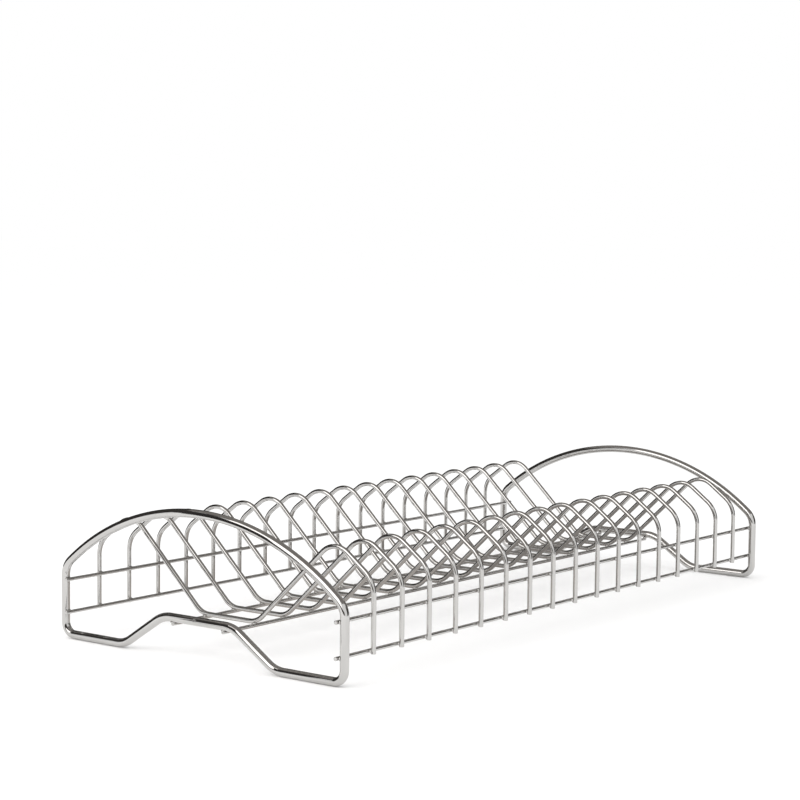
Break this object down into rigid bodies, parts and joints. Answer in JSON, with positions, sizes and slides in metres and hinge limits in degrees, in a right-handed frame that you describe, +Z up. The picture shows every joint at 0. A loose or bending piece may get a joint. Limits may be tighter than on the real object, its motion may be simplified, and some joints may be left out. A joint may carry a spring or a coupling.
{
  "type": "plate rack",
  "caption": "Low countertop plate rack of bent chrome wire: arched end frames, a row of two-humped dividers and straight rails hold plates upright on edge.",
  "frame": {"origin": "middle of the rack's footprint, on the table", "axes": "+X along the rack towards the rear end frame, +Y towards the left side rails, +Z up"},
  "size_m": [0.459, 0.2154, 0.0853],
  "materials": {
    "chrome_wire": "polished"
  },
  "bodies": {
    "root": {"front_end_frame": "chrome_wire", "rear_end_frame": "chrome_wire", "upper_left_side_rail": "chrome_wire", "lower_left_side_rail": "chrome_wire", "upper_right_side_rail": "chrome_wire", "lower_right_side_rail": "chrome_wire", "left_bottom_rail": "chrome_wire", "right_bottom_rail": "chrome_wire", "divider_01": "chrome_wire", "divider_02": "chrome_wire", "divider_03": "chrome_wire", "divider_04": "chrome_wire", "divider_05": "chrome_wire", "divider_06": "chrome_wire", "divider_07": "chrome_wire", "divider_08": "chrome_wire", "divider_09": "chrome_wire", "divider_10": "chrome_wire", "divider_11": "chrome_wire", "divider_12": "chrome_wire", "divider_13": "chrome_wire", "divider_14": "chrome_wire", "divider_15": "chrome_wire", "divider_16": "chrome_wire", "divider_17": "chrome_wire"}
  },
  "joints": []
}
